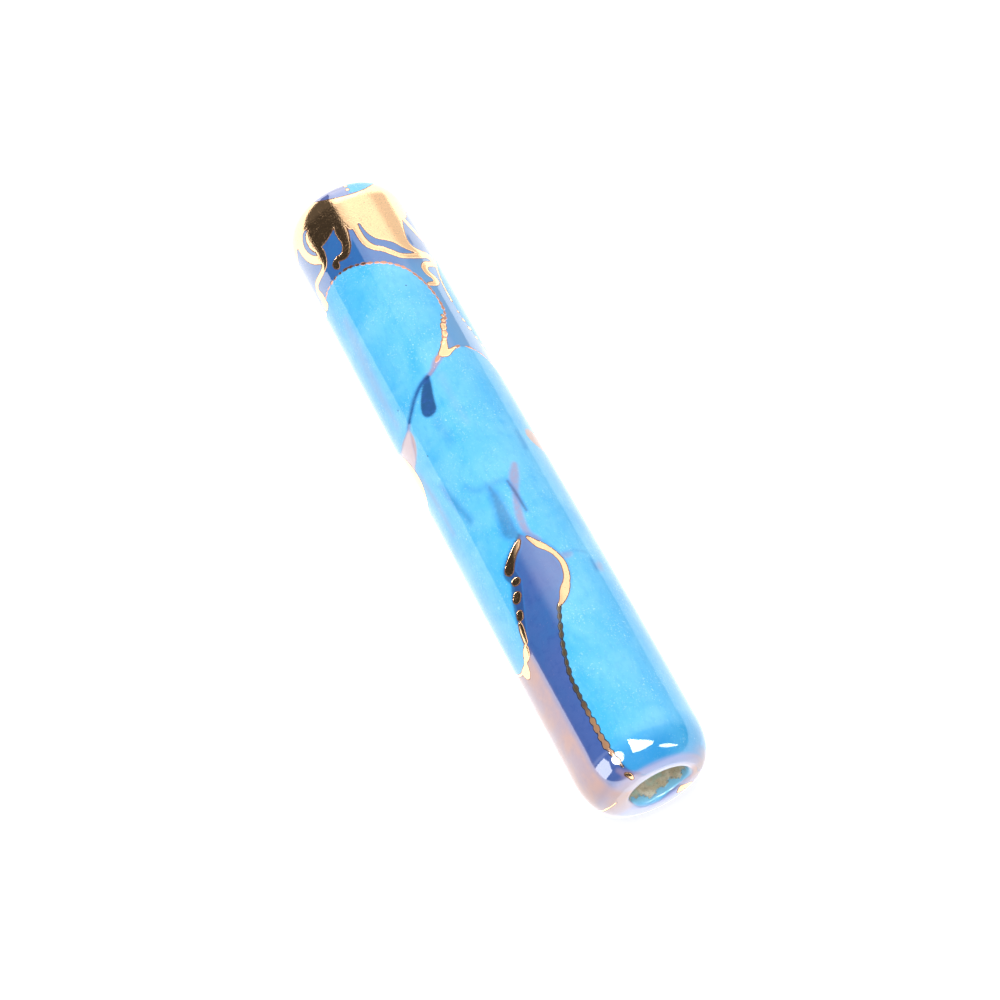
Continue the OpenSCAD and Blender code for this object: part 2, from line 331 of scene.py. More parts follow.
PEACH_STROKES = [
    (0.95, 0.5, [(-56.6, 11.2, 0.3), (-62, 9.9, 1.4), (-69, 9, 2.2), (-79, 8.4, 2.4)]),
    (0.95, 0.2, [(49.4, 1.7, 0.5), (51.6, 1.7, 1.3), (55, 1.3, 1.8), (61, 0.3, 1.4), (68, -0.6, 0.8),
                 (76, -1, 0.3)]),
]


def collar_shape():
    """The gold collar's lower edge, and its upper edge, which runs back the other way."""
    low = smooth_curve(COLLAR_EDGE)
    angles = np.arange(180, -181, -3.0)
    high = np.minimum(56.2 + 0.00232 * (angles - 4) ** 2, 62.6 + 0.5 * np.cos(np.radians(3 * angles)))
    return low[:, :2], np.stack([angles, high], 1)


def within(shape, angle, along):
    """True where a point is inside a closed outline, even one that crosses the back's -180 degrees."""
    inside = np.zeros(len(angle), bool)
    for turn in (-360, 0, 360):
        x = angle + turn
        hit = np.zeros(len(angle), bool)
        for (ax, ay), (bx, by) in zip(shape, np.roll(shape, -1, 0)):
            if ay == by:
                continue
            crosses = (along < ay) != (along < by)
            hit ^= crosses & (x < ax + (along - ay) / (by - ay) * (bx - ax))
        inside |= hit
    return inside


REACH = 3.0                       # distances are worked out this far from a shape, in millimetres
STROKE_STEP = 0.35


def stroke_distance(points, line, width):
    """Each point's distance to a line of points, less the line's half width, and REACH at most."""
    out = np.full(len(points), REACH)
    pad = REACH + width.max()
    near = np.all((points > line.min(0) - pad) & (points < line.max(0) + pad), 1)
    index = np.flatnonzero(near)
    a, b = line[:-1], line[1:]
    ab = b - a
    square = np.maximum((ab**2).sum(1), 1e-12)
    for chunk in np.array_split(index, max(1, len(index) * len(a) // 4_000_000)):
        p = points[chunk][:, None]
        t = np.clip(((p - a) * ab).sum(-1) / square, 0, 1)
        away = np.sqrt(((p - a - t[..., None] * ab) ** 2).sum(-1))
        gap = away - (width[:-1] + t * (width[1:] - width[:-1]))
        out[chunk] = np.minimum(REACH, gap.min(1))
    return out


def draw(field, points, strokes, bead=None):
    """Widens a field of signed distances, positive inside, by strokes, beaded with a pitch of `bead`."""
    for stroke in strokes:
        curve = smooth_curve(stroke, STROKE_STEP)
        line, width = on_tube(curve[:, :2]), curve[:, 2].copy()
        if bead:
            run = np.r_[0, np.cumsum(np.linalg.norm(np.diff(line, axis=0), axis=1))]
            width *= 0.76 + 0.46 * np.sin(run * 2 * math.pi / bead) + 0.18 * np.sin(run * 1.9)
        np.maximum(field, -stroke_distance(points, line, width), out=field)


def region(points, angle, along, shape, edges=None):
    """Signed distance to a closed outline, positive inside. `edges` is its rim where not all of it is."""
    away = np.full(len(points), REACH)
    for edge in edges or [np.vstack([shape, shape[:1]])]:
        line = on_tube(edge)
        np.minimum(away, stroke_distance(points, line, np.zeros(len(line))), out=away)
    return np.where(within(shape, angle, along), away, -away)


def soft(points, strokes):
    """Cover, from 0 to 1, of soft strokes under the glaze."""
    cover = np.zeros(len(points))
    for strength, blur, stroke in strokes:
        field = np.full(len(points), -REACH)
        draw(field, points, [stroke])
        np.maximum(cover, strength * ramp(field, -blur / 2, blur / 2), out=cover)
    return cover


def pattern(points, angle, along):
    """The tube's painted fields, by name, at points on its outside."""
    cyan = np.full(len(points), -REACH)
    for cell in CELLS.values():
        shape = smooth_curve(cell, closed=True)
        np.maximum(cyan, region(points, angle, along, shape), out=cyan)
    low, high = collar_shape()
    gold = region(points, angle, along, np.vstack([low, high]), [low, high])
    for shape in GOLD_SHAPES.values():
        np.maximum(gold, region(points, angle, along, smooth_curve(shape, closed=True)), out=gold)
    hole = np.full(len(points), -REACH)
    draw(hole, points, GOLD_HOLES)
    gold = np.minimum(gold, -hole)
    draw(gold, points, GOLD_STROKES)
    draw(gold, points, [[(a, s, w), (a + 0.5, s, w)] for a, s, w in GOLD_DOTS])
    # the closed end, inside the collar: cyan to the right of a row of gold beads
    end_cyan = np.where(along > 56, np.radians(angle - 3) * TUBE_R, -REACH)
    end_cyan = np.where(within(high, angle, along) | (along > 62.5), end_cyan, -REACH)
    np.maximum(cyan, np.clip(end_cyan, -REACH, REACH), out=cyan)
    copper = np.full(len(points), -REACH)
    for pitch, line in COPPER_LINES:
        draw(copper, points, [line], bead=pitch)
    return {"cyan": cyan, "gold": gold, "copper": copper, "navy": soft(points, NAVY_STROKES),
            "mauve": soft(points, MAUVE_STROKES), "patch": soft(points, PEACH_STROKES),
            **tints(angle, along)}


def tints(angle, along):
    """How the glaze's colours drift over the outside, painted shade and painted reflections among them, by
    name, each from 0 to 1.
    """
    turn = np.radians(angle)
    mouth = ramp(along, -58.8, -60.8)
    lip = ramp(along, -59.4, -60.4)
    # a coppery blush low on the left, paler ones round the mouth, and a trace on the closed end
    left = ramp(angle, -50, -60) * ramp(angle, -128, -112) * ramp(along, -30, -35)
    right = ramp(along, -57.6, -59.6) * np.clip(np.cos(turn - 1.45), 0, 1) ** 6
    blush = 0.85 * left * (1 - 0.55 * ramp(along, -57.5, -60.5)) + 0.9 * right
    blush = blush + 0.5 * mouth * np.clip(np.cos(turn + 1.1), 0, 1) ** 3 + 0.16 * ramp(along, 57, 59)
    # painted shade: darker turquoise on the mouth's shoulder, most of all at its left
    shoulder_shade = ramp(along, -53, -57.5) * ramp(along, -61.6, -60) * (1 - 0.6 * ramp(angle, 5, 34))
    violet = 0.45 * ramp(along, 10, -18) + 0.4 * ramp(along, -30, -50) + ramp(along, 55, 57)
    wedge = ramp(angle, 8, 26) * ramp(angle, 75, 60) * ramp(along, 12, 18) * ramp(along, 44, 36)
    # painted reflection: the copper line olive and dark on the front, less so towards the mouth
    olive = ramp(along, -26, -31) * (np.abs(angle) < 60) * (1 - 0.5 * ramp(along, -44, -52))
    # painted reflections of the table: lavender round the mouth, over its lip, and further up on the right
    return {"blush": np.clip(blush, 0, 1), "mouth_reflection": mouth, "table_reflection": 0.85 * np.maximum(lip, right),
            "shoulder_shade": 0.75 * shoulder_shade, "violet": violet, "wedge": wedge, "olive": olive}


# ---------------------------------------------------------------- the tube's mesh
def column_angles():
    """Degrees round the tube, closest together at the front."""
    t = np.linspace(0, 2 * math.pi, COLUMNS, endpoint=False)
    front = math.radians(FRONT_ANGLE)
    a = front + t - FRONT_CROWD * np.sin(t)
    return (np.degrees(a) + 180) % 360 - 180


def hand_wobble(angle, y):
    """The unevenness of hand-rolled clay, in millimetres out from the true surface."""
    a = np.radians(angle)
    return (0.05 * np.sin(2 * a + 0.9 + y / 17) + 0.035 * np.sin(3 * a - y / 9 + 2)
            + 0.03 * np.sin(a + y / 6.5) - 0.06)


def add_object(name, data):
    """A new object in the scene."""
    obj = bpy.data.objects.new(name, data)
    bpy.context.scene.collection.objects.link(obj)
    return obj


def add_mesh(name, vertices, faces):
    """A smooth-shaded mesh object from vertices in millimetres."""
    mesh = bpy.data.meshes.new(name)
    mesh.from_pydata([tuple(v) for v in np.asarray(vertices) * MM], [], faces)
    mesh.validate()
    mesh.shade_smooth()
    return add_object(name, mesh)


def ring_faces(rings, columns, first_pole=None, last_pole=None):
    """Quads between rings of vertices, and triangle fans to poles."""
    i = np.arange(columns)
    j = (i + 1) % columns
    faces = []
    for k in range(rings - 1):
        a, b = k * columns, (k + 1) * columns
        faces += np.stack([a + i, a + j, b + j, b + i], 1).tolist()
    if first_pole is not None:
        faces += [(first_pole, int(b), int(a)) for a, b in zip(i, j)]
    if last_pole is not None:
        top = (rings - 1) * columns
        faces += [(last_pole, int(top + a), int(top + b)) for a, b in zip(i, j)]
    return faces


def set_field(obj, name, values):
    """Stores a number for each vertex, which the material reads by name."""
    attribute = obj.data.attributes.new(name, "FLOAT", "POINT")
    attribute.data.foreach_set("value", np.asarray(values, np.float32))


def settle(obj, material, body, node):
    """Gives a piece its material and its body, and hides the CAD node that it stands for."""
    obj.data.materials.append(material)
    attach(obj, body)
    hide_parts(node)


EDGE_FIELDS = ("cyan", "gold", "copper")              # signed distances, positive inside
COVER_FIELDS = ("navy", "mauve", "patch", "blush", "mouth_reflection", "table_reflection", "shoulder_shade", "violet", "wedge", "olive")


def build_case(material):
    """The tube: a closed mesh whose vertices carry the painted pattern's fields."""
    angles = column_angles()
    rows = len(PROFILE)
    angle = np.tile(angles, rows)
    radius, y, centre = (np.repeat(PROFILE[:, k], COLUMNS) for k in range(3))
    along = np.repeat(ALONG, COLUMNS)
    outside = np.repeat(np.arange(rows) <= MOUTH_ROW, COLUMNS)
    # only the outside and the mouth's lip carry the pattern, and deeper rings keep their first values
    painted = np.repeat(ALONG > ALONG[MOUTH_ROW] - LIP_PAINT, COLUMNS)
    a = np.radians(angle)
    true = np.stack([centre + radius * np.sin(a), y, AXIS_Z + radius * np.cos(a)], 1)
    fields = {name: np.full(len(true), -REACH) for name in EDGE_FIELDS}
    fields.update({name: np.zeros(len(true)) for name in COVER_FIELDS})
    for name, values in pattern(true[painted], angle[painted], along[painted]).items():
        fields[name][painted] = values
    # glaze that has run over the lip into the bore, in tongues of uneven length
    inward = ALONG[MOUTH_ROW] - along
    tongue = 2.9 + 0.5 * np.cos(a - 2.5) + 0.35 * np.sin(a * 5 + 1) + 0.25 * np.sin(a * 11)
    # the flat land on the back stood on the kiln's shelf, so it has no glaze
    above_land = (true[:, 2] - LAND_Z - 0.03) / 0.3
    fields["glazed"] = np.clip(np.where(outside, above_land, tongue - inward), -REACH, REACH)
    fields["inside"] = 0.8 * ramp(inward, 1.8, 2.8)
    lip = inward - 1.9 - 0.45 * np.sin(3 * a + 0.6)
    fields["cyan"] = np.where(inward > 0.2, np.clip(lip * 1.5, -REACH, REACH), fields["cyan"])
    # painted reflection of the table in lavender on the lip's rounded edge
    fields["mouth_reflection"][inward > 0] = 1.0
    fields["table_reflection"] = np.where(inward > 0, 0.8 * ramp(inward, 2.2, 1.2), fields["table_reflection"])
    # relief: glaze pools in the cells, and gold stands on it
    out = GOLD_RELIEF * ramp(fields["gold"], -0.15, 0.2) + GLAZE_RELIEF * ramp(fields["cyan"], -0.4, 0.8)
    out = np.where(outside, out + hand_wobble(angle, y) * ramp(radius, 3, 9), 0)
    normal = np.stack([np.sin(a), np.zeros_like(a), np.cos(a)], 1)
    vertices = true + normal * out[:, None]
    vertices[:, 2] = np.where(outside, np.maximum(vertices[:, 2], LAND_Z), vertices[:, 2])
    poles = np.array([[0, TOP_Y, AXIS_Z], [BORE_X, MOUTH_Y + BORE_DEPTH, AXIS_Z]])
    count = len(vertices)
    faces = ring_faces(rows, COLUMNS, count, count + 1)
    obj = add_mesh("glazed_case", np.vstack([vertices, poles]), faces)
    far = (-REACH, -REACH)
    at_poles = {"cyan": (1.0, -REACH), "gold": far, "copper": far, "glazed": (REACH, -REACH)}
    for name, values in fields.items():
        set_field(obj, name, np.r_[values, at_poles.get(name, (0.0, 0.0))])
    settle(obj, material, "case", "case_body")


# ---------------------------------------------------------------- the pieces inside and behind
def sheet_solid(name, lower, upper):
    """A closed sheet between two grids of points, in millimetres."""
    n, m = lower.shape[:2]
    index = np.arange(2 * n * m).reshape(2, n, m)
    low, high = index

    def quads(a, flip=False):
        q = np.stack([a[:-1, :-1], a[1:, :-1], a[1:, 1:], a[:-1, 1:]], -1).reshape(-1, 4)
        return (q[:, ::-1] if flip else q).tolist()

    def hem(a, b, flip=False):
        q = np.stack([a[:-1], a[1:], b[1:], b[:-1]], -1)
        return (q[:, ::-1] if flip else q).tolist()

    faces = quads(low) + quads(high, True)
    faces += hem(low[:, 0], high[:, 0], True) + hem(low[:, -1], high[:, -1])
    faces += hem(low[0], high[0]) + hem(low[-1], high[-1], True)
    obj = add_mesh(name, np.concatenate([lower.reshape(-1, 3), upper.reshape(-1, 3)]), faces)
    outward(obj)
    obj.data.set_sharp_from_angle(angle=math.radians(50))
    return obj


def outward(obj):
    """Turns every face's normal out of the solid."""
    mesh = bmesh.new()
    mesh.from_mesh(obj.data)
    bmesh.ops.recalc_face_normals(mesh, faces=mesh.faces)
    mesh.to_mesh(obj.data)
    mesh.free()


def rolled(turns, steps, radius, pitch, ends, rows, waver, end_waver):
    """The two faces' grids of a rolled sheet, from each one's radius at the start. A turn adds `pitch`."""
    u = np.linspace(0, turns, round(turns * steps) + 1)[:, None]
    v = np.linspace(0, 1, rows)[None]
    low_y, high_y = ends
    y = low_y + (high_y - low_y) * v + end_waver(u, v)
    faces = []
    turn = 2 * np.pi * u
    for r in radius:
        reach = r + pitch * u + waver(u, v)
        x, z = BORE_X + reach * np.cos(turn), AXIS_Z + reach * np.sin(turn)
        faces.append(np.stack([x, y + 0 * u, z], -1))
    return faces


def build_scroll(material):
    """The parchment: one sheet, rolled into a loose spiral, whose edges have slipped a little."""
    low, high = box_mm("scroll")

    def waver(u, v):
        return 0.02 * np.sin(5.3 * u + 7 * v) + 0.018 * np.sin(11 * u - 9 * v + 1) - 0.02

    def slip(u, v):
        away = (2 * v - 1) ** 5
        return 0.3 * np.sin(1.4 * u + 0.6) + away * (0.16 * np.sin(9 * u + 2) + 0.07 * np.sin(31 * u))

    outer = (high.z - low.z) / 2
    inner = outer - SHEET - ROLL_PITCH * ROLL_TURNS
    grids = rolled(ROLL_TURNS, 72, (inner, inner + SHEET), ROLL_PITCH, (low.y, high.y), 48, waver, slip)
    settle(sheet_solid("parchment_scroll", *grids), material, "scroll_set", "scroll")


def build_sleeve(material):
    """The clear film round the parchment, closed by a lap."""
    low, high = box_mm("scroll_sleeve")
    radius = (high.z - low.z) / 2
    pitch = FILM + 0.02
    inner = radius - FILM - pitch * LAP_TURNS - 0.012

    def waver(u, v):
        return 0.006 * np.sin(13 * u + 5 * v) + 0.005 * np.sin(29 * v - 6 * u)

    def straight(u, v):
        return 0 * u * v

    grids = rolled(LAP_TURNS, 120, (inner, inner + FILM), pitch, (low.y, high.y), 24, waver, straight)
    settle(sheet_solid("film_sleeve", *grids), material, "scroll_set", "scroll_sleeve")


def stopper_profile():
    """Rings of the moulded plug from its outer face's rim to its inner end: rows of (radius, depth)."""
    rows = [(CORE_R - 0.3 + r, 0.3 + y) for r, y in quarter((0.3, 0.3), 5, -90, 0)]
    lift = math.degrees(math.asin((CORE_R - RIB_CENTRE_R) / RIB_R))
    for k in range(1, RIBS + 1):
        middle = STOPPER_LENGTH * k / (RIBS + 1)
        for a in np.radians(np.linspace(180 - lift, lift, 13)):
            rows.append((RIB_CENTRE_R + RIB_R * math.sin(a), middle + RIB_R * math.cos(a)))
    chamfer, soft_edge = 0.6, 0.06
    rows.append((CORE_R, STOPPER_LENGTH - chamfer - 2 * soft_edge))
    rows.append((CORE_R - soft_edge, STOPPER_LENGTH - chamfer + soft_edge))
    rows.append((CORE_R - chamfer + soft_edge, STOPPER_LENGTH - soft_edge))
    rows.append((CORE_R - chamfer - 2 * soft_edge, STOPPER_LENGTH))
    rows += [(r, STOPPER_LENGTH) for r in (3.0, 1.6)]
    return rows


def half_pocket(side, inset):
    """The outline of one of the two pockets beside the grip bar: a flat along the bar, and an arc."""
    flat, reach = GRIP_BAR / 2 + inset, GRIP_R - inset
    swing = math.acos(flat / reach)
    arc = [(reach * math.cos(a), reach * math.sin(a)) for a in np.linspace(-swing, swing, 33)]
    top = reach * math.sin(swing)
    line = [(flat, top - 2 * top * t) for t in np.linspace(0, 1, 14)[1:-1]]
    return [(side * x, z) for x, z in arc + line]


def build_stopper(material):
    """The rubber plug: three sealing ribs, and a grip bar between two pockets in its outer face."""
    columns = 96
    turn = np.linspace(0, 2 * math.pi, columns, endpoint=False)
    vertices = []
    rows = stopper_profile()
    for r, depth in rows:
        nib = 0.012 * np.exp(-((turn - math.pi) / 0.04) ** 2)          # the mould's parting line
        reach = r - 0.02 + 0.008 * np.sin(3 * turn + depth) + nib * (r > 4)
        vertices += [(x, depth, z) for x, z in zip(reach * np.sin(turn), reach * np.cos(turn))]
    faces = ring_faces(len(rows), columns, last_pole=len(vertices))
    vertices.append((0, STOPPER_LENGTH, 0))
    rims = [list(range(columns))]
    lip, foot = 0.22, 0.35
    bend = np.radians(np.linspace(0, 90, 6))
    steps = [(-lip * (1 - math.sin(a)), lip * (1 - math.cos(a))) for a in bend]
    steps += [(0.0, GRIP_DEPTH * t) for t in (0.25, 0.5, 0.75)]
    steps += [(foot * (1 - math.cos(a)), GRIP_DEPTH - foot * (1 - math.sin(a))) for a in bend]
    for side in (-1, 1):
        loops = []
        for inset, depth in steps:
            outline = half_pocket(side, inset)
            loops.append(list(range(len(vertices), len(vertices) + len(outline))))
            vertices += [(x, depth, z) for x, z in outline]
        for a, b in zip(loops, loops[1:]):
            faces += [(a[i - 1], a[i], b[i], b[i - 1]) for i in range(len(a))]
        faces.append(tuple(loops[-1]))
        rims.append(loops[0])
    flat = [[Vector((vertices[i][0], vertices[i][2], 0)) for i in loop] for loop in rims]
    order = [i for loop in rims for i in loop]
    faces += [tuple(order[k] for k in triangle) for triangle in tessellate_polygon(flat)]
    place = np.array([BORE_X, stopper_low.y, AXIS_Z])
    obj = add_mesh("rubber_stopper", np.array(vertices) + place, faces)
    outward(obj)
    obj.data.set_sharp_from_angle(angle=math.radians(42))
    settle(obj, material, "stopper", "stopper")


def rounded_outline(half_x, half_y, corner, step=0.4):
    """A rectangle with round corners, as points a step apart."""
    corners = [(half_x - corner, half_y - corner, 0), (corner - half_x, half_y - corner, 90),
               (corner - half_x, corner - half_y, 180), (half_x - corner, corner - half_y, 270)]
    points = []
    for x, y, start in corners:
        points += [(x + u, y + v) for u, v in quarter((corner, corner), 6, start, start + 90)]
    out = []
    for (ax, ay), (bx, by) in zip(points, points[1:] + points[:1]):
        count = max(1, round(math.hypot(bx - ax, by - ay) / step))
        out += [(ax + (bx - ax) * k / count, ay + (by - ay) * k / count) for k in range(count)]
    return np.array(out)


def build_pad(node, material):
    """A strip of foam tape, pressed between the land and its liner, so that its cut sides draw in."""
    low, high = box_mm(node)
    middle, half = (low + high) / 2, (high - low) / 2
    draws = random.Random(node)
    levels = np.linspace(0, 1, 9)
    vertices = []
    for t in levels:
        pull = 0.05 + 0.2 * math.sin(math.pi * t) ** 0.8
        outline = rounded_outline(half.x - pull, half.y - pull, 0.5)
        if not vertices:
            count = len(outline)
        outline = resample(outline, count)
        rough = np.array([[draws.uniform(-0.025, 0.025) for _ in range(2)] for _ in range(count)])
        edge = 1 if 0 < t < 1 else 0.3
        z = low.z + (high.z - low.z) * t
        vertices += [(middle.x + x, middle.y + y, z) for x, y in outline + rough * edge]
    faces = ring_faces(len(levels), count)
    faces += [tuple(range(count)), tuple(range((len(levels) - 1) * count, len(levels) * count))]
    obj = add_mesh("foam_tape_" + node.split("_")[-1], vertices, faces)
    outward(obj)
    obj.data.set_sharp_from_angle(angle=math.radians(50))
    settle(obj, material, "case", node)


def resample(loop, count):
    """The same closed outline with another number of points, evenly spaced."""
    closed = np.vstack([loop, loop[:1]])
    run = np.r_[0, np.cumsum(np.hypot(*np.diff(closed, axis=0).T))]
    at = np.linspace(0, run[-1], count, endpoint=False)
    return np.stack([np.interp(at, run, closed[:, k]) for k in range(2)], 1)


def build_liner(node, tab, material):
    """A release liner. Its pull tab, towards `tab` along y, has a rounder end and curls up a little."""
    low, high = box_mm(node)
    length, half_x = high.y - low.y, (high.x - low.x) / 2
    along = np.linspace(0, length, 110)[:, None]
    across = np.linspace(-1, 1, 25)[None]

    def shorter(gap, corner):
        """How much narrower a round corner leaves the strip, `gap` from its end."""
        gap = np.minimum(gap, corner)
        return corner - np.sqrt(np.maximum(corner**2 - (corner - gap) ** 2, 0))

    half = half_x - shorter(along, 0.6) - shorter(length - along, 2.2)
    x = across * half
    y = along + 0 * across
    free = np.clip(along - (length - TAB), 0, None) + 0 * across
    ripple = 0.02 * (1 + np.sin(3.1 * x + 1.7 * y)) * ramp(free, 0, 2)
    z = 0.034 * free**1.9 + ripple
    y = y - 0.02 * free**2
    y = low.y + y if tab > 0 else high.y - y
    lower = np.stack([x, y, low.z + z], -1)
    upper = np.stack([x, y, high.z + z], -1)
    obj = sheet_solid("paper_liner_" + node.split("_")[-1], lower, upper)
    settle(obj, material, "case", node)


# ---------------------------------------------------------------- materials
class Nodes:
    """Short calls for the nodes of a tree. A value can be a number, a colour or another node's output."""

    def __init__(self, tree):
        self.tree = tree

    def new(self, kind):
        return self.tree.nodes.new("ShaderNode" + kind)

    def feed(self, socket, value):
        if isinstance(value, bpy.types.NodeSocket):
            self.tree.links.new(value, socket)
        else:
            socket.default_value = value

    def math(self, operation, *values):
        node = self.new("Math")
        node.operation = operation
        for socket, value in zip(node.inputs, values):
            self.feed(socket, value)
        return node.outputs[0]

    def plus(self, a, b):
        return self.math("ADD", a, b)

    def minus(self, a, b):
        return self.math("SUBTRACT", a, b)

    def times(self, a, b):
        return self.math("MULTIPLY", a, b)

    def band(self, value, low, high, to_low=0.0, to_high=1.0):
        """A smooth step from to_low at `low` to to_high at `high`."""
        node = self.new("MapRange")
        node.interpolation_type = "SMOOTHSTEP"
        for socket, v in zip(node.inputs[:5], (value, low, high, to_low, to_high)):
            self.feed(socket, v)
        return node.outputs[0]


class Shader(Nodes):
    """A material with one Principled shader. Sockets are named with _ for a space."""

    def __init__(self, name, **constants):
        self.material = bpy.data.materials.new(name)
        self.material.use_nodes = True
        super().__init__(self.material.node_tree)
        self.finish(**constants)

    def finish(self, **sockets):
        for socket, value in sockets.items():
            self.feed(self.tree.nodes["Principled BSDF"].inputs[socket.replace("_", " ")], value)
        return self.material

    @cached_property
    def place(self):
        """The shaded point's place, in millimetres."""
        scale = self.new("VectorMath")
        scale.operation = "SCALE"
        scale.inputs["Scale"].default_value = 1 / MM
        self.feed(scale.inputs[0], self.new("TexCoord").outputs["Object"])
        return scale.outputs[0]

    def field(self, name):
        node = self.new("Attribute")
        node.attribute_name = name
        return node.outputs["Fac"]

    def stretch(self, x, y, z):
        """The place with its axes scaled, to draw a pattern out."""
        node = self.new("VectorMath")
        node.operation = "MULTIPLY"
        self.feed(node.inputs[0], self.place)
        node.inputs[1].default_value = (x, y, z)
        return node.outputs[0]

    def noise(self, size, detail=2.0, rough=0.5, place=None, distortion=0.0):
        """Noise from 0 to 1, whose lumps are about `size` millimetres."""
        node = self.new("TexNoise")
        self.feed(node.inputs["Vector"], place or self.place)
        node.inputs["Scale"].default_value = 1 / size
        node.inputs["Detail"].default_value = detail
        node.inputs["Roughness"].default_value = rough
        node.inputs["Distortion"].default_value = distortion
        return node.outputs["Fac"]

    def cells(self, size):
        """The distance to the nearest of scattered points, as a share of `size`, their spacing."""
        node = self.new("TexVoronoi")
        self.feed(node.inputs["Vector"], self.place)
        node.inputs["Scale"].default_value = 1 / size
        return node.outputs["Distance"]

    def mix(self, factor, a, b):
        """Colour a at factor 0, and colour b at 1."""
        node = self.new("Mix")
        node.data_type = "RGBA"
        self.feed(node.inputs[0], factor)
        for socket, colour in zip(node.inputs[6:8], (a, b)):
            self.feed(socket, colour if isinstance(colour, bpy.types.NodeSocket) else (*colour, 1.0))
        return node.outputs[2]

    def bump(self, height, depth, normal=None):
        """Bump whose height runs from 0 to 1 over `depth` millimetres."""
        node = self.new("Bump")
        node.inputs["Distance"].default_value = depth * MM
        self.feed(node.inputs["Height"], height)
        if normal:
            self.feed(node.inputs["Normal"], normal)
        return node.outputs[0]


CYAN_DEEP = (0.075, 0.475, 0.85)
CYAN_PALE = (0.165, 0.57, 0.88)
CYAN_SPECK = (0.45, 0.82, 1.0)
# dark turquoise, for the brush streaks and for the painted shade on the mouth's shoulder
CYAN_STREAK_AND_SHADE = (0.022, 0.27, 0.66)
BORE_CYAN_LIT = (0.30, 0.70, 0.97)
COBALT = (0.032, 0.15, 0.43)
VIOLET = (0.070, 0.135, 0.41)
WEDGE_BLUE = (0.045, 0.27, 0.58)
COBALT_DARK = (0.03, 0.085, 0.34)
REFLECTED_LAVENDER = (0.40, 0.44, 0.74)
NAVY = (0.02, 0.075, 0.22)
AZURE = (0.025, 0.21, 0.60)
MAUVE = (0.36, 0.27, 0.42)
BLUSH = (0.62, 0.36, 0.28)
PEACH = (0.64, 0.40, 0.32)
GOLD = (0.95, 0.61, 0.34)
GOLD_TAN = (0.88, 0.54, 0.32)
COPPER = (0.60, 0.29, 0.20)
BURNT = (0.10, 0.035, 0.012)
OLIVE_GOLD = (0.40, 0.25, 0.095)
OLIVE_DARK = (0.10, 0.07, 0.035)
OUTLINE = (0.23, 0.085, 0.045)
OUTLINE_DARK = (0.035, 0.03, 0.03)
BISQUE = (0.62, 0.52, 0.34)
BISQUE_PALE = (0.88, 0.83, 0.70)
BISQUE_GRIT = (0.16, 0.15, 0.10)
BISQUE_GREEN = (0.40, 0.62, 0.52)


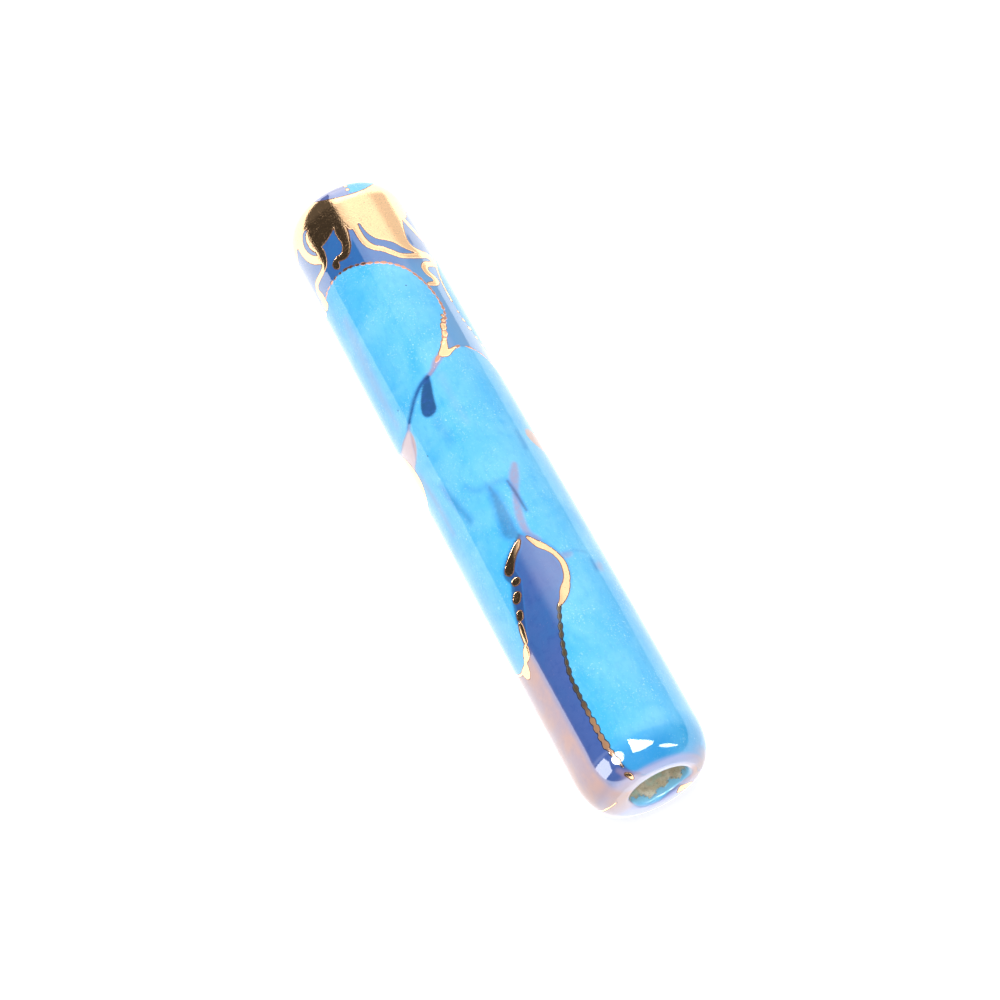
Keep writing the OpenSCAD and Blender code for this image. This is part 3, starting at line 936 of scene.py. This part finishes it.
def glazed_clay():
    """Turquoise cells on a cobalt ground under the glaze, fired gold and copper on it, and bare clay, with
    some painted shade, painted reflections and painted light in its colours.
    """
    s = Shader("glazed_clay", IOR=1.52, Coat_IOR=2.2, Coat_Roughness=0.06)
    fray = s.minus(s.noise(0.55, 3.0), 0.5)
    drift = s.minus(s.noise(2.6, 2.0), 0.5)
    edge = s.plus(s.field("cyan"), s.times(drift, 0.5))
    is_cyan = s.band(edge, -0.12, 0.22)
    gold_edge = s.plus(s.field("gold"), s.times(fray, 0.16))
    is_gold = s.band(gold_edge, -0.02, 0.03)
    outline = s.minus(s.band(gold_edge, -0.17, -0.08), s.band(gold_edge, 0.02, 0.1))
    copper_edge = s.plus(s.field("copper"), s.times(fray, 0.2))
    is_copper = s.band(copper_edge, -0.05, 0.04)
    # colours under the glaze
    cloud = s.noise(9, 3.0, 0.55, distortion=0.4)
    speck = s.cells(0.55)
    cyan = s.mix(s.band(cloud, 0.3, 0.7), CYAN_DEEP, CYAN_PALE)
    cyan = s.mix(s.band(speck, 0.28, 0.0, 0.0, 0.22), cyan, CYAN_SPECK)
    cyan = s.mix(s.band(s.noise(1.3, 5.0, 0.75), 0.5, 0.78, 0.0, 0.7), cyan, CYAN_PALE)
    flecks = s.times(s.band(s.noise(5, 2.0), 0.42, 0.64), s.band(s.noise(0.35, 3.0, 0.7), 0.56, 0.71))
    cyan = s.mix(s.times(flecks, 0.7), cyan, CYAN_SPECK)
    cyan = s.mix(s.band(s.cells(6.5), 0.034, 0.02, 0.0, 0.65), cyan, NAVY)
    brush = s.noise(0.7, 4.0, 0.65, place=s.stretch(1.0, 0.45, 1.0))
    cyan = s.mix(s.band(brush, 0.46, 0.68, 0.0, 0.16), cyan, CYAN_STREAK_AND_SHADE)
    # painted shade: the turquoise turned darker on the mouth's shoulder
    cyan = s.mix(s.field("shoulder_shade"), cyan, CYAN_STREAK_AND_SHADE)
    tone = s.plus(s.field("violet"), s.minus(s.noise(6, 3.0, 0.6), 0.5))
    ground = s.mix(s.band(tone, 0.1, 0.8), COBALT, VIOLET)
    ground = s.mix(s.band(s.noise(1.4, 5.0, 0.7), 0.45, 0.75, 0.0, 0.45), ground, COBALT_DARK)
    ground = s.mix(s.band(s.noise(0.5, 4.0, 0.7), 0.6, 0.78, 0.0, 0.3), ground, MAUVE)
    ground = s.mix(s.field("wedge"), ground, WEDGE_BLUE)
    # painted reflection: the ground turned lavender round the mouth
    ground = s.mix(s.times(s.field("mouth_reflection"), 0.8), ground, REFLECTED_LAVENDER)
    blush = s.times(s.field("blush"), s.band(s.noise(4, 3.0), 0.3, 0.6, 0.7, 1.0))
    colour = s.mix(is_cyan, s.mix(blush, ground, BLUSH), cyan)
    # painted reflection of the table: lavender over the turquoise on the mouth's lip and on the right
    colour = s.mix(s.times(s.field("table_reflection"), is_cyan), colour, s.mix(blush, REFLECTED_LAVENDER, BLUSH))
    colour = s.mix(s.field("patch"), colour, PEACH)
    seam = s.times(s.band(edge, -0.6, 0.0), s.band(edge, 0.5, 0.0))
    colour = s.mix(s.times(seam, 0.3), colour, COBALT)
    mottle = s.band(s.noise(0.7, 4.0, 0.7), 0.3, 0.55, 0.72, 1.0)
    colour = s.mix(s.times(s.field("mauve"), mottle), colour, MAUVE)
    pool = s.mix(s.band(s.noise(1.1, 4.0, 0.65), 0.42, 0.68, 0.0, 0.6), NAVY, COBALT_DARK)
    pool = s.mix(s.band(s.noise(0.3, 3.0, 0.7), 0.58, 0.72, 0.0, 0.4), pool, AZURE)
    navy = s.times(s.field("navy"), s.band(s.field("navy"), 0.6, 0.9, mottle, 1.0))
    colour = s.mix(navy, colour, s.mix(s.band(s.field("navy"), 0.35, 0.8), AZURE, pool))
    # the fired metals on the glaze
    colour = s.mix(outline, colour, OUTLINE)
    # painted reflection: the copper line turns olive and dark, and less metallic, where it would mirror the
    # dark corner; the dark rim beside it is an outline
    olive = s.field("olive")
    rim = s.minus(s.band(copper_edge, -0.2, -0.1), is_copper)
    colour = s.mix(s.times(rim, s.band(olive, 0.0, 0.4)), colour, OUTLINE_DARK)
    dark_reflection = s.mix(s.band(olive, 0.6, 0.9), OLIVE_GOLD, OLIVE_DARK)
    colour = s.mix(is_copper, colour, s.mix(olive, COPPER, dark_reflection))
    gold = s.mix(s.band(s.noise(2.4, 5.0, 0.7), 0.42, 0.8, 0.0, 0.7), GOLD, GOLD_TAN)
    gold = s.mix(s.band(s.noise(0.3, 3.0, 0.6), 0.58, 0.75, 0.0, 0.35), gold, GOLD_TAN)
    burnt = s.band(s.noise(0.26, 4.0, 0.7), 0.56, 0.7)
    burnt = s.times(burnt, s.band(s.noise(3.5, 3.0), 0.4, 0.62, 0.2, 0.6))
    gold = s.mix(burnt, gold, BURNT)
    colour = s.mix(is_gold, colour, gold)
    shiny = s.times(is_gold, s.minus(1.0, burnt))
    metal = s.times(is_copper, s.band(olive, 0.0, 0.4, 0.85, 0.25))
    metal = s.math("MAXIMUM", shiny, metal)
    metal = s.math("MAXIMUM", metal, s.times(outline, 0.5))
    # the bare clay inside the bore and on the flat land
    bare = s.band(s.plus(s.field("glazed"), s.times(fray, 1.7)), 0.2, -0.2)
    grit = s.noise(0.4, 4.0, 0.7)
    clay = s.mix(s.band(s.noise(1.5, 4.0), 0.35, 0.7), BISQUE, BISQUE_PALE)
    stain = s.times(s.band(s.noise(2.2, 2.0), 0.48, 0.7, 0.0, 0.85), s.field("inside"))
    clay = s.mix(stain, clay, BISQUE_GREEN)
    clay = s.mix(s.band(grit, 0.55, 0.72, 0.0, 0.7), clay, BISQUE_GRIT)
    # painted light: the turquoise inside the bore is lighter than the same glaze outside
    inside = s.times(s.field("inside"), is_cyan)
    colour = s.mix(inside, colour, BORE_CYAN_LIT)
    colour = s.mix(bare, colour, clay)
    metal = s.times(metal, s.minus(1.0, bare))
    rough = s.band(s.noise(3, 2.0), 0.3, 0.8, 0.035, 0.085)
    rough = s.times(rough, s.band(is_gold, 0.0, 1.0, 1.0, 0.7))
    rough = s.plus(rough, s.times(s.times(is_copper, olive), 0.25))
    rough = s.math("MAXIMUM", rough, s.times(bare, 0.85))
    # relief: an uneven glaze, the metal's raised edge, pinholes and clay grit
    skin = s.bump(s.noise(6, 2.0, 0.4), 0.03)
    skin = s.bump(s.noise(0.8, 2.0), 0.003, skin)
    skin = s.bump(s.times(is_gold, s.noise(0.25, 3.0)), 0.018, skin)
    skin = s.bump(s.band(gold_edge, -0.1, 0.12), 0.035, skin)
    skin = s.bump(s.band(copper_edge, -0.1, 0.1), 0.03, skin)
    skin = s.bump(s.times(bare, grit), 0.25, skin)
    plain = s.math("MAXIMUM", s.math("MAXIMUM", is_cyan, bare), s.math("MAXIMUM", metal, blush))
    lustre = s.minus(1.0, plain)
    return s.finish(Base_Color=colour, Metallic=metal, Roughness=rough, Normal=skin, Coat_Normal=skin,
                    Coat_Weight=s.times(lustre, 0.65))


def moulded_rubber():
    """Matt black rubber with a fine mould texture, a greyish bloom and a few specks of dust."""
    s = Shader("moulded_rubber", IOR=1.5)
    bloom = s.band(s.noise(2.2, 4.0, 0.6), 0.42, 0.72)
    colour = s.mix(bloom, (0.016, 0.016, 0.018), (0.042, 0.042, 0.045))
    colour = s.mix(s.band(s.cells(0.42), 0.1, 0.02, 0.0, 0.5), colour, (0.22, 0.21, 0.19))
    rough = s.band(s.noise(1.1, 3.0), 0.3, 0.7, 0.5, 0.72)
    skin = s.bump(s.noise(0.16, 3.0, 0.6), 0.02)
    skin = s.bump(s.noise(1.5, 2.0), 0.03, skin)
    return s.finish(Base_Color=colour, Roughness=rough, Normal=skin)


def parchment():
    """Cream skin with a mottled tone, faint veins, fine fibres and the pits of its pores."""
    s = Shader("parchment", IOR=1.45)
    cloud = s.band(s.noise(9, 4.0, 0.6, distortion=0.6), 0.35, 0.7)
    tone = s.mix(cloud, (0.60, 0.43, 0.23), (0.74, 0.59, 0.36))
    tone = s.mix(s.band(s.noise(2.4, 5.0, 0.7), 0.55, 0.8, 0.0, 0.6), tone, (0.48, 0.32, 0.16))
    drift = s.minus(s.noise(7, 3.0, distortion=1.2), 0.5)
    vein = s.band(s.math("ABSOLUTE", drift), 0.03, 0.0, 0.0, 0.3)
    tone = s.mix(vein, tone, (0.56, 0.40, 0.26))
    fibre = s.noise(0.5, 4.0, 0.7, place=s.stretch(1.0, 0.16, 1.0))
    tone = s.mix(s.band(fibre, 0.55, 0.8, 0.0, 0.4), tone, (0.80, 0.69, 0.48))
    pores = s.band(s.cells(0.5), 0.14, 0.04)
    tone = s.mix(s.times(pores, 0.35), tone, (0.46, 0.32, 0.18))
    skin = s.bump(fibre, 0.02)
    skin = s.bump(s.minus(1.0, pores), 0.012, skin)
    rough = s.band(s.noise(3, 3.0), 0.3, 0.7, 0.52, 0.75)
    return s.finish(Base_Color=tone, Roughness=rough, Normal=skin)


def clear_film():
    """Glossy clear film, a little yellowed, with smudges and fine scratches along it."""
    s = Shader("clear_film", IOR=1.5, Alpha=0.22)
    colour = s.mix(s.band(s.noise(8, 3.0), 0.3, 0.7), (0.90, 0.94, 0.96), (0.95, 0.94, 0.88))
    scratch = s.noise(0.3, 2.0, 0.8, place=s.stretch(1.0, 0.05, 1.0))
    smudge = s.band(s.noise(3.2, 4.0, 0.65), 0.5, 0.72, 0.06, 0.34)
    rough = s.plus(smudge, s.band(scratch, 0.6, 0.75, 0.0, 0.2))
    return s.finish(Base_Color=colour, Roughness=rough, Normal=s.bump(s.noise(2.5, 2.0), 0.03))


def closed_cell_foam():
    """White foam tape: small closed cells, and a faint grey grime."""
    s = Shader("closed_cell_foam", IOR=1.45)
    cell = s.cells(0.3)
    walls = s.band(cell, 0.2, 0.55)
    colour = s.mix(walls, (0.86, 0.86, 0.84), (0.96, 0.96, 0.95))
    colour = s.mix(s.band(s.noise(3, 4.0, 0.6), 0.52, 0.8, 0.0, 0.4), colour, (0.80, 0.79, 0.75))
    skin = s.bump(walls, 0.025)
    skin = s.bump(s.noise(0.12, 2.0), 0.02, skin)
    return s.finish(Base_Color=colour, Roughness=s.band(cell, 0.1, 0.6, 0.9, 0.7), Normal=skin)


def waxed_kraft():
    """Yellow-brown waxed paper with flecks, fibres along its grain and a soft sheen."""
    s = Shader("waxed_kraft", IOR=1.45)
    fibre = s.noise(0.5, 4.0, 0.7, place=s.stretch(1.0, 0.2, 1.0))
    colour = s.mix(s.band(fibre, 0.35, 0.7), (0.60, 0.45, 0.20), (0.76, 0.63, 0.34))
    colour = s.mix(s.band(s.noise(5, 3.0), 0.4, 0.7, 0.0, 0.45), colour, (0.82, 0.72, 0.46))
    colour = s.mix(s.band(s.cells(0.7), 0.09, 0.03, 0.0, 0.7), colour, (0.34, 0.22, 0.09))
    skin = s.bump(fibre, 0.02)
    skin = s.bump(s.noise(2.5, 3.0), 0.04, skin)
    rough = s.band(s.noise(2.2, 3.0), 0.3, 0.7, 0.28, 0.5)
    return s.finish(Base_Color=colour, Roughness=rough, Normal=skin)


# ---------------------------------------------------------------- the studio, in metres
LIGHT_DISTANCE = 1.2
SNOOT_DISTANCE = 0.3
SNOOT_MOUTH = 0.006              # the lamp's own radius
SNOOT_BLEND = 0.6
FLOOR_R = 6.0
FLOOR_Z = -0.00002                # a hair under the liners, so that the two faces don't fight
FLOOR_GLOW = 0.3
RAY_GLOW = (("Is Camera Ray", 0.42), ("Is Glossy Ray", 1.3))


def direction(around, lean):
    """A unit direction, `around` degrees from straight up towards +X, whose y is `lean`."""
    a = math.radians(around)
    flat = math.sqrt(1 - lean * lean)
    return Vector((flat * math.sin(a), lean, flat * math.cos(a)))


def glow_card(name, radiance, corners):
    """A glowing card that shows only in gloss. Its corners are (around, lean) directions."""
    outline = [CENTRE + direction(*corner) * LIGHT_DISTANCE for corner in corners]
    mesh = bpy.data.meshes.new(name)
    mesh.from_pydata(outline, [], [tuple(range(len(outline)))])
    glow = Shader(name, Base_Color=(0, 0, 0, 1), Emission_Color=(1, 1, 1, 1), Emission_Strength=radiance)
    mesh.materials.append(glow.material)
    obj = add_object(name, mesh)
    obj.visible_camera = obj.visible_diffuse = obj.visible_shadow = False


def fill_light(name, around, lean, width, length, radiance):
    """A broad soft light that shows in no gloss. Its width runs round the tube, its length along it."""
    light = bpy.data.lights.new(name, "AREA")
    light.shape = "RECTANGLE"
    light.size, light.size_y = width, length
    light.energy = radiance * math.pi * width * length
    obj = add_object(name, light)
    out = direction(around, lean)
    obj.location = CENTRE + out * LIGHT_DISTANCE
    side = Vector((math.cos(math.radians(around)), 0, -math.sin(math.radians(around))))
    obj.rotation_euler = Matrix((side, out.cross(side), out)).transposed().to_euler()
    obj.visible_camera = obj.visible_glossy = False


def snoot_light(name, target, around, lean, radius, watts):
    """A narrow beam that lights a spot of `radius` metres round the target, and shows in no gloss."""
    light = bpy.data.lights.new(name, "SPOT")
    light.energy = watts
    light.spot_size = 2 * math.atan(radius / SNOOT_DISTANCE)
    light.spot_blend = SNOOT_BLEND
    light.shadow_soft_size = SNOOT_MOUTH
    obj = add_object(name, light)
    out = direction(around, lean)
    obj.location = target + out * SNOOT_DISTANCE
    obj.rotation_euler = out.to_track_quat("Z", "Y").to_euler()
    obj.visible_camera = obj.visible_glossy = False


def studio_world():
    """The room that the glaze and the gold mirror: white, but for a dark corner and the mouth's side."""
    world = bpy.data.worlds.new("studio")
    bpy.context.scene.world = world
    world.use_nodes = True
    n = Nodes(world.node_tree)
    split = n.new("SeparateXYZ")
    n.feed(split.inputs[0], n.new("TexCoord").outputs["Generated"])
    around = n.math("ARCTAN2", split.outputs["X"], split.outputs["Z"])
    lean = split.outputs["Y"]

    def around_band(low, high):
        """A smooth step from 0 to 1 between two directions round the tube, in degrees."""
        return n.band(around, math.radians(low), math.radians(high))

    # the dark corner's right edge is crisp where the far end mirrors it, and soft towards the mouth
    blur = n.plus(math.radians(1.5), n.times(n.band(lean, 0.53, 0.45), math.radians(20)))
    into = n.math("DIVIDE", n.minus(math.radians(-13), around), blur)
    dark = n.times(n.times(n.band(into, 0, 1), around_band(-96, -92)), n.band(lean, 0.1, 0.2))
    # brighter to the right and beyond the closed end, and dimmer low on the right
    bright = n.plus(1.0, n.times(around_band(-14, 8), 0.5))
    bright = n.minus(bright, n.times(around_band(50, 63), 0.55))
    bright = n.plus(bright, n.times(n.band(lean, 0.6, 0.68), 1.3))
    # dark on the mouth's side, where only the cards glow
    fore = n.band(lean, 0.16, 0.06)
    level = n.plus(n.times(bright, n.minus(1.0, fore)), n.times(fore, 0.1))
    level = n.times(level, n.minus(1.0, n.times(dark, 0.95)))
    # gloss mirrors that room, matt surfaces get a soft sky, and the eye sees plain white
    sky = n.plus(0.3, n.times(n.band(lean, -0.6, 0.5), 0.55))
    path = n.new("LightPath").outputs
    level = n.plus(n.times(level, path["Is Glossy Ray"]), n.times(path["Is Diffuse Ray"], sky))
    background = n.tree.nodes["Background"]
    background.inputs["Color"].default_value = (1, 1, 1, 1)
    n.feed(background.inputs["Strength"], n.plus(level, path["Is Camera Ray"]))


def build_floor():
    """A pale, glowing table top, brighter in reflections than to the eye."""
    bpy.ops.mesh.primitive_circle_add(vertices=96, radius=FLOOR_R, fill_type="NGON",
                                      location=(0, 0, FLOOR_Z))
    floor = bpy.context.object
    floor.name = "table"
    s = Shader("table_white", Base_Color=(0.4, 0.4, 0.405, 1), Roughness=0.9, Specular_IOR_Level=0.1,
               Emission_Color=(1, 1, 1, 1))
    path = s.new("LightPath").outputs
    glow = FLOOR_GLOW
    for ray, extra in RAY_GLOW:
        glow = s.math("MULTIPLY_ADD", path[ray], extra, glow)
    floor.data.materials.append(s.finish(Emission_Strength=glow))


def build_camera():
    """The photograph's view: from the front's left, over the mouth."""
    azimuth, elevation = math.radians(-25.3), math.radians(58.7)
    distance = 0.4276
    shift_right, shift_up = 0.00185, -0.0025
    back = Vector((math.sin(azimuth) * math.cos(elevation), -math.cos(azimuth) * math.cos(elevation),
                   math.sin(elevation)))
    right = (-back).cross(Vector((0, 0, 1))).normalized()
    up = right.cross(-back)
    camera = bpy.data.cameras.new("camera")
    camera.sensor_width = 36
    camera.lens = 94.7
    camera.clip_end = 100
    obj = add_object("camera", camera)
    obj.location = CENTRE + back * distance + right * shift_right + up * shift_up
    obj.rotation_euler = Matrix((right, up, back)).transposed().to_euler()
    bpy.context.scene.camera = obj


CENTRE = Vector((0, 0, AXIS_Z * MM))
MOUTH = Vector((BORE_X, MOUTH_Y, AXIS_Z)) * MM
build_camera()
studio_world()
build_floor()
glow_card("window", 26, [(-17, 0.05), (-19, -0.38), (0, -0.43), (19, -0.37), (22, -0.29), (13, -0.22)])
glow_card("left_window", 4.6, [(-97, 0.0), (-99, -0.38), (-70, -0.4), (-62, -0.14), (-66, 0.02)])
glow_card("lamp", 24, [(-46 + 12 * math.cos(t), -0.23 + 0.17 * math.sin(t)) for t in np.linspace(6, 0, 24)])
glow_card("streak", 22, [(31, -0.45), (30, -0.52), (46, -0.58), (66, -0.55), (71, -0.5), (50, -0.46)])
fill_light("key", -15, -0.05, 1.3, 1.1, 2.9)
fill_light("mouth_fill", 5, -0.84, 0.8, 0.5, 1.6)
snoot_light("bore_light", MOUTH, 0, -0.82, 0.0052, 3.0)
bpy.context.scene.view_settings.view_transform = "Standard"

build_case(glazed_clay())
build_stopper(moulded_rubber())
build_scroll(parchment())
build_sleeve(clear_film())
foam = closed_cell_foam()
for node in ("foam_pad_top", "foam_pad_bottom"):
    build_pad(node, foam)
kraft = waxed_kraft()
for node, tab in (("release_liner_top", -1), ("release_liner_bottom", 1)):
    build_liner(node, tab, kraft)
